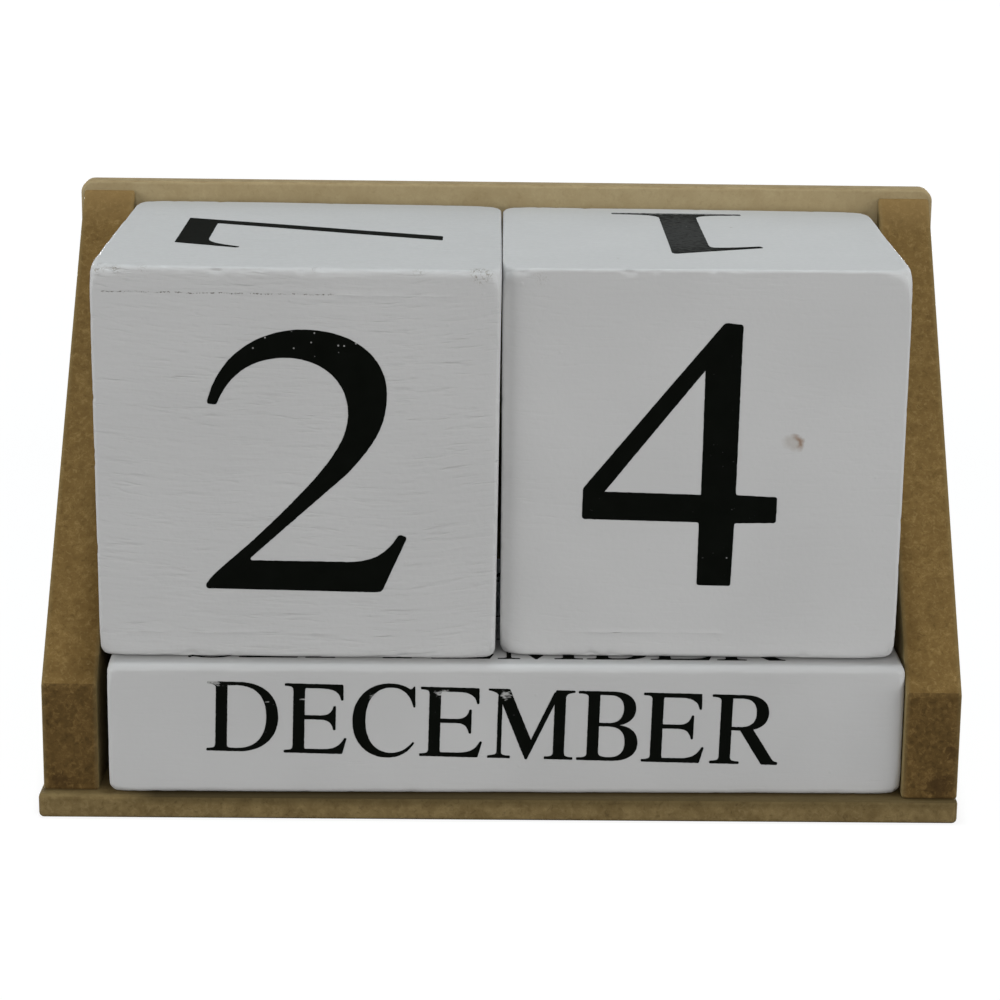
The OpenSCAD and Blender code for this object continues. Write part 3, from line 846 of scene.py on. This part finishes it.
def inkSpread(loop, radius):
    # wet ink rounds its corners: each sharp one becomes a small curve
    sharp, shared, whole = 0.4, 0.45, 0.95     # radians, and how much of a side a curve may take up
    turns = [(p - loop[k - 1]).angle(loop[(k + 1) % len(loop)] - p, 0) > sharp for k, p in enumerate(loop)]
    spread = []
    for k, p in enumerate(loop):
        if not turns[k]:
            spread.append(p)
            continue
        ends = []
        for other in (k - 1, (k + 1) % len(loop)):
            way = loop[other] - p
            room = way.length * (shared if turns[other] else whole)
            ends.append(p + way.normalized() * min(radius, room))
        spread += [ends[0].lerp(p, t).lerp(p.lerp(ends[1], t), t) for t in (0, 0.25, 0.5, 0.75, 1)]
    return spread


def holds(loop, p):
    # even-odd test of a point against a closed loop
    odd = False
    last = loop[-1]
    for q in loop:
        if (q.y > p.y) != (last.y > p.y) and p.x < q.x + (p.y - q.y) * (last.x - q.x) / (last.y - q.y):
            odd = not odd
        last = q
    return odd


def glyph(font, sign):
    # triangles of one glyph, with its rim as ordered edges
    if sign in glyphStore:
        return glyphStore[sign]
    points, edges, solid, cut = [], [], [], []
    for text in font["shapes"][sign]:
        loop = tracePath(text, font["step"])
        if text.startswith("-"):
            cut.append(loop)
        else:
            loop = inkSpread(loop, font["spread"])
            solid.append(loop)
        start = len(points)
        edges += [(start + k, start + (k + 1) % len(loop)) for k in range(len(loop))]
        points += loop
    spots, _, triangles, *_ = delaunay_2d_cdt(points, edges, [], 0, 1e-4)
    kept = []
    rim = {}
    for tri in triangles:
        middle = (spots[tri[0]] + spots[tri[1]] + spots[tri[2]]) / 3
        if any(holds(loop, middle) for loop in solid) and not any(holds(loop, middle) for loop in cut):
            kept.append(tri)
            for a, b in ((0, 1), (1, 2), (2, 0)):
                pair = (tri[a], tri[b])
                if pair[::-1] in rim:
                    del rim[pair[::-1]]
                else:
                    rim[pair] = True
    glyphStore[sign] = (spots, kept, list(rim))
    return glyphStore[sign]


faceWays = {        # what runs right and what runs up on each face of a block
    "front": ((1, 0, 0), (0, 0, 1)), "back": ((-1, 0, 0), (0, 0, 1)),
    "left": ((0, -1, 0), (0, 0, 1)), "right": ((0, 1, 0), (0, 0, 1)),
    "top": ((1, 0, 0), (0, 1, 0)), "bottom": ((1, 0, 0), (0, -1, 0)),
}


def printGlyph(bm, block, seat, face, flat, shape, look):
    # one glyph as a thin closed layer on a block's face; flat takes glyph units to mm on the face
    right, up = (Vector(way) for way in faceWays[face])
    out = right.cross(up)
    half = Vector(block["size"]) / 2
    reach = Vector([abs(out[a]) * half[a] for a in range(3)]).length
    corner = Vector([-(right[a] + up[a]) * half[a] for a in range(3)])
    spots, triangles, rim = shape
    rimSpots = {k for pair in rim for k in pair}
    upper, lower = {}, {}
    for k in {k for tri in triangles for k in tri}:
        u, v = flat(spots[k])
        if k in rimSpots:
            ragged = noise.noise_vector(Vector((u, v, reach + half.x)) / look["ragged"]) * look["rough"]
            u, v = u + ragged.x, v + ragged.y
        for store, lift in ((upper, look["lift"]), (lower, -look["lift"])):
            p = corner + out * (reach + lift)
            p += Vector([abs(right[a]) * right[a] * u + abs(up[a]) * up[a] * v for a in range(3)])
            store[k] = bm.verts.new(seat(p))
    for tri in triangles:
        bm.faces.new([upper[k] for k in tri])
        bm.faces.new([lower[k] for k in reversed(tri)])
    for a, b in rim:
        bm.faces.new((upper[a], lower[a], lower[b], upper[b]))


# Day cubes: six boards each, cut from one sanded block, with the numerals printed on their faces
cubePaint = {"grainLength": 6.5, "sway": 38.0, "swayBy": 5.0, "patch": 6.0, "cloud": 26.0, "peel": 0.9,
             "speck": 0.38, "crack": 0.8, "paint": "#c5c5c4", "shade": "#c2c2c1", "dirt": "#5a5449",
             "crackTint": "#7f7767", "peelDepth": 0.055, "nibSpacing": 3.0, "nibShare": 0.3,
             "nibDepth": 0.035, "dirtyShare": 0.015, "nibDirt": 0.55, "chipDepth": 0.06, "crackDepth": 0.05}
cubeSetup = {"edge": 0.7, "edgeWear": 0.25, "nick": 1.6, "board": 4.2, "step": 0.62}
# In mm from a cube's left front bottom corner. Seams: level, begin, end and strength, below nought where
# the paint stands proud. Numerals: sign, lower left corner, turn, and width and height where not as drawn.
dayCubes = {
    "leftCube": {
        "body": "left_cube", "node": "left_cube_", "cornerEdge": 1.9, "cornerReach": 2.8, "waviness": 0.06,
        "softEdges": {"front top": 1.05, "left front": 0.6, "right front": 1.0, "front bottom": 1.1,
                      "right top": 0.33},
        "corners": {"left front top": (-0.41, -1.5, 0.55), "right front top": (0.39, -1.3, 0.15),
                    "left back top": (0.26, 0, 0.7), "right back top": (0.12, 0, 0.36),
                    "left front bottom": (-0.01, -1.5, 0), "right front bottom": (-0.1, -1.3, 0)},
        "paint": dict(cubePaint, grainWidth=0.95, grainDepth=0.14, poreDepth=0.09, bow=(-33, 0.0022)),
        "seams": [("top", 1.5, 38, 1.0), ("top", 38, 42.5, -0.8), ("top", 44, 56, -0.6),
                  ("bottom", 4.5, 11, -0.7), ("bottom", 14.5, 25, -0.7), ("bottom", 30, 38, -0.4)],
        "scuffs": [((60.9, 0.4, 63.2), 2.3, 0.9), ((1.3, 0.5, 63.3), 1.5, 0.8), ((4.3, 0.3, 62.8), 0.9, 1.0),
                   ((8.2, 0.3, 63.0), 0.8, 0.6), ((35.2, 0.4, 63.2), 0.7, 0.6),
                   ((51.0, 0.3, 63.0), 1.0, 0.5)],
        "pitted": [((32.6, 0, 51.4), (11, 5, 3.4), 0.45)],
        "numerals": {"front": ("2", (17.15, 11.22), 0, 0.99, 0.983), "top": ("7", (54.3, 17.3), 90),
                     "back": ("8", (17, 10.5), 0), "left": ("0", (16.2, 10.4), 90),
                     "right": ("1", (20.5, 10.8), 0), "bottom": ("6", (17, 10.4), 0)},
    },
    "rightCube": {
        "body": "right_cube", "node": "right_cube_", "cornerEdge": 2.1, "cornerReach": 3.0, "waviness": 0.07,
        "softEdges": {"front top": 0.55, "left front": 0.35, "right front": 0.6, "front bottom": 1.0,
                      "left top": 0.33},
        "planed": (3.9, 0.6),
        "corners": {"left front top": (-0.15, 0, 0.25), "right front top": (0.5, 0, 0.68),
                    "left back top": (-0.17, 0, 0.24), "left front": (0, 0.5, 0), "right": (0, -0.25, 0),
                    "left front bottom": (0.15, 0, 0.1), "right front bottom": (0.15, 0, 0.33)},
        # paint a little lighter than the left cube's: painted light, standing in for the light growing
        # brighter towards the right
        "paint": dict(cubePaint, paint="#c9c9c8", shade="#c5c5c4", grainWidth=1.0, grainDepth=0.045,
                      poreDepth=0.02, bow=(31.6, 0.001), peelDepth=0.04,
                      knot={"place": (46.1, -31.6, 62.2), "size": (1.65, 6.0, 1.3), "turn": 12,
                            "stain": "#a39a90", "rim": "#83603f", "depth": 0.08}),
        "seams": [("top", 5, 54, 0.35), ("bottom", 9.5, 36, -0.35), ("bottom", 14.5, 25, -1.0),
                  ("bottom", 32, 36, -1.0)],
        "scuffs": [((5.9, 0.0, 61.8), 1.5, 0.25)],
        "rubs": [((30.1, 36, 63.5), (14, 48, 6), 0.1), ((30.4, 60, 63.5), (70, 5, 5), 0.9)],
        "numerals": {"front": ("4", (13.1, 12.2), 0, 0.992, 0.992),
                     "top": ("1", (41.3, 58.3), 180.4, 1.03, 1.03),
                     "back": ("0", (16.2, 10.4), 0), "left": ("5", (17, 10.6), 90),
                     "right": ("3", (17, 10.6), 0), "bottom": ("2", (16, 10.6), 0)},
    },
}
printLook = {"ink": "#080a07", "thin": "#10120f", "under": "#b4b4b2", "cloud": 3.0, "peel": 0.5,
             "depth": 0.006, "pitSpacing": 0.9, "pitShare": 0.997,
             "lift": 0.04, "ragged": 0.45, "rough": 0.05}


glueLine = {
    "strength": 0.3, "frontStrength": 0.2,             # where no seam is given
    "least": 0.004, "groove": 0.05, "grooveRun": 1.7,  # mm
    "ridge": 0.13, "ridgeVary": 0.1, "ridgeRun": 2.5,
    "wander": ((0.16, 3), (0.05, 1.3)), "wanderReach": 1.2,
}


def markBlock(block, cube, half, inner, lining):
    # glue lines: a shallow groove, deeper and marked where the paint has chipped; and scuffed places
    onFace = 0.5        # mm, nearer counts as on a face
    seamMark = block.verts.layers.float.new("seam")
    scuffMark = block.verts.layers.float.new("scuff")
    for vert in block.verts:
        p = vert.co
        onLevel = abs(abs(p.z) - lining) < 1e-4
        onCorner = abs(abs(p.y) - inner) < 1e-4 and abs(p.x) > half.x - onFace and abs(p.z) < lining
        if onLevel or onCorner:
            strength = glueLine["strength"]
            if onLevel and p.y < onFace - half.y:
                level = "top" if p.z > 0 else "bottom"
                found = [s for way, a, b, s in cube["seams"] if way == level and a < p.x + half.x < b]
                strength = max(found, key=abs, default=glueLine["frontStrength"])
            vert[seamMark] = strength
            if strength > 0:
                vary = 0.5 + 0.5 * noise.noise(p / glueLine["grooveRun"])
                vert.co = p - vert.normal * (glueLine["least"] + glueLine["groove"] * strength ** 2 * vary)
            else:
                # paint standing proud of the line
                ridge = glueLine["ridge"] + glueLine["ridgeVary"] * noise.noise(p / glueLine["ridgeRun"])
                vert.co = p - vert.normal * strength * ridge
        for spot, reach, strength in cube["scuffs"]:
            near = 1 - (p - Vector(spot) + half).length / reach
            if near > 0:
                vert[scuffMark] = max(vert[scuffMark], min(1, 2 * near) * strength)


def sliceOff(bm, axis, level, way):
    # takes away what lies beyond a plane across an axis and closes the cut
    point, out = Vector(), Vector()
    point[axis], out[axis] = level, way
    cut = bmesh.ops.bisect_plane(bm, geom=bm.verts[:] + bm.edges[:] + bm.faces[:], dist=1e-6,
                                 plane_co=point, plane_no=out, clear_outer=True)
    edges = [part for part in cut["geom_cut"] if isinstance(part, bmesh.types.BMEdge)]
    bmesh.ops.contextual_create(bm, geom=edges)


def makeCube(name, cube):
    boxes = [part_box(cube["node"] + side) for side in sideWays]
    low = Vector([min(box[0][a] for box in boxes) for a in range(3)]) / mm
    high = Vector([max(box[1][a] for box in boxes) for a in range(3)]) / mm
    cube["centre"] = (low + high) / 2
    cube["size"] = high - low
    half = cube["size"] / 2
    inner = half.x - cube["board"]
    lining = half.z - cube["board"]
    bound = (inner, inner, lining)
    block = roundedBlock(cube, cube["step"], ((), (-inner, inner), (-lining, lining)))
    markBlock(block, cube, half, inner, lining)
    seat = seatOf(cube)
    paint = paintMaterial("paintedSoftwood." + name, cube["paint"])
    endPaint = paintMaterial("paintedSoftwood." + name + "Ends", cube["paint"], turned=True)
    for side, (axis, sign) in sideWays.items():
        # each board ends at its own inner face and between the boards that overlap it
        bm = block.copy()
        sliceOff(bm, axis, sign * bound[axis], -sign)
        for other in range(axis + 1, 3):
            for way in (1, -1):
                sliceOff(bm, other, way * bound[other], way)
        for vert in bm.verts:
            # a glue line wanders a little; both its boards follow the same wave
            p = vert.co
            near = max(0, 1 - abs(abs(p.z) - lining) / glueLine["wanderReach"])
            wave = sum(height * noise.noise(p / run) for height, run in glueLine["wander"])
            vert.co.z = p.z + near * wave
        for vert in bm.verts:
            vert.co = seat(vert.co)
        piece = makePiece(name + side.capitalize() + "Board", bm, [endPaint if axis == 0 else paint],
                          cube["body"], [cube["node"] + side])
        piece.data.set_sharp_from_angle(angle=math.radians(50))
    block.free()
    # numerals: those in sight are placed as seen, the others are turned about the middle of their face
    bm = bmesh.new()
    centre = Vector((half.x, half.z))
    for face, (sign, corner, turn, *size) in cube["numerals"].items():
        wide, tall = size or (1, 1)
        spin = Matrix.Rotation(math.radians(turn), 2)
        start = Vector(corner) if face in ("front", "top") else centre - spin @ (centre - Vector(corner))
        printGlyph(bm, cube, seat, face, lambda p: start + spin @ Vector((p.x * wide, p.y * tall)),
                   glyph(numeralFont, sign), printLook)
    look = dict(printLook)
    for key in ("pitted", "rubs"):
        look[key] = [(seat(Vector(spot) - half), size, share) for spot, size, share in cube.get(key, ())]
    ink = inkMaterial("blackTransfer." + name, look)
    makePiece(name + "Numerals", bm, [ink], cube["body"], [])


for name, spec in dayCubes.items():
    makeCube(name, {**cubeSetup, **spec})
    print(name, "made")

# Month bars: three solid bars with four names each
barPaint = dict(cubePaint, paint="#c6c6c5", shade="#c1c1c0", grainWidth=0.9, grainDepth=0.03,
                poreDepth=0.012, nibShare=0.12, peelDepth=0.02, bow=(0, 0.0))
barSetup = {"edge": 1.3, "cornerEdge": 1.6, "cornerReach": 2.4, "edgeWear": 0.15, "nick": 0.5,
            "waviness": 0.03, "softEdges": {"left front": 0.7, "right front": 0.9, "front bottom": 0.9},
            "step": 0.9,
            "capHeight": 11.4, "gap": 0.8, "baseline": 5.2}
monthBars = {
    "frontBar": {
        "node": "front_month_bar", "body": "front_bar", "skew": 1.3,
        "corners": {"left": (-0.16, 0, 0), "right": (0.22, 0, 0), "top": (0, -0.6, -0.07),
                    "right top": (0, 0, 0.13), "bottom": (0, -0.6, 0)},
        "names": {"front": "DECEMBER", "top": "SEPTEMBER", "back": "OCTOBER", "bottom": "NOVEMBER"},
        # where the two names in sight stand
        "layout": {"front": {"start": (15.8, 7.23), "turn": -1.35, "tall": 1.035,
                             "gaps": (0.95, 0.9, 0.8, 0.8, 0.5, 0.65, 0.85)},
                   "top": {"start": (12.4, 4.3), "turn": -0.6, "gaps": (0.5,) * 8}},
        # rubbed places on the front name: middle on the face, half width and half height in mm, share bare
        "rubs": [((16.2, 18.8), (3.6, 1.1), 0.98), ((25.5, 15.5), (0.9, 0.3), 0.7),
                 ((31.5, 16.0), (1.2, 0.3), 0.9), ((43.2, 16.4), (1.9, 0.9), 0.7),
                 ((54.3, 17.0), (2.4, 1.1), 0.95), ((64.2, 16.8), (1.6, 1.2), 0.95)]},
    "middleBar": {
        "node": "middle_month_bar", "body": "middle_bar", "corners": {"top": (0, 0, -0.25)},
        "names": {"front": "APRIL", "top": "JANUARY", "back": "FEBRUARY", "bottom": "MARCH"}},
    "rearBar": {
        "node": "rear_month_bar", "body": "rear_bar", "corners": {"top": (0, 0, -0.18)},
        "names": {"front": "AUGUST", "top": "MAY", "back": "JUNE", "bottom": "JULY"}},
}
namePrint = dict(printLook, rough=0.035, ragged=0.3, lift=0.03)
barFinish = paintMaterial("paintedSoftwood.bars", barPaint)
barInk = inkMaterial("blackTransfer.bars", printLook)


def printName(bm, bar, seat, face, name):
    scale = bar["capHeight"] / 100
    shapes = [glyph(letterFont, letter) for letter in name]
    widths = [max(p.x for p in shape[0]) * scale for shape in shapes]
    layout = bar.get("layout", {}).get(face, {})
    gaps = layout.get("gaps", [bar["gap"]] * (len(name) - 1))
    middled = (bar["size"].x - sum(widths) - sum(gaps)) / 2, bar["baseline"]
    start = Vector(layout.get("start", middled))
    turn = layout.get("turn", 0)
    if face == "back":
        # read when the bar is rolled over
        turn = 180
        start = Vector((bar["size"].x, bar["size"].z)) - start
    spin = Matrix.Rotation(math.radians(turn), 2)
    tall = scale * layout.get("tall", 1)
    walk = 0
    for shape, width, gap in zip(shapes, widths, [*gaps, 0]):
        printGlyph(bm, bar, seat, face, lambda p: start + spin @ Vector((p.x * scale + walk, p.y * tall)),
                   shape, namePrint)
        walk += width + gap


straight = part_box("middle_month_bar")
for name, spec in monthBars.items():
    low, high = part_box(spec["node"])
    bar = {**barSetup, **spec, "centre": (low + high) / 2 / mm, "size": (straight[1] - straight[0]) / mm}
    seat = seatOf(bar)
    bm = roundedBlock(bar, bar["step"])
    for vert in bm.verts:
        vert.co = seat(vert.co)
    makePiece(name, bm, [barFinish], bar["body"], [bar["node"]])
    bm = bmesh.new()
    for face, month in bar["names"].items():
        printName(bm, bar, seat, face, month)
    ink = barInk
    if "rubs" in bar:
        half = bar["size"] / 2
        rubs = [(seat(Vector((x - half.x, -half.y, z - half.z))), (wide, 3.0, tall), share)
                for (x, z), (wide, tall), share in bar["rubs"]]
        ink = inkMaterial("blackTransfer.rubbed", dict(printLook, rubs=rubs))
    makePiece(name + "Names", bm, [ink], bar["body"], [])
    print(name, "made")

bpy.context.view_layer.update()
triangles = sum(len(p.vertices) - 2 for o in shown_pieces() if o.type == "MESH" for p in o.data.polygons)
print("triangles:", triangles)
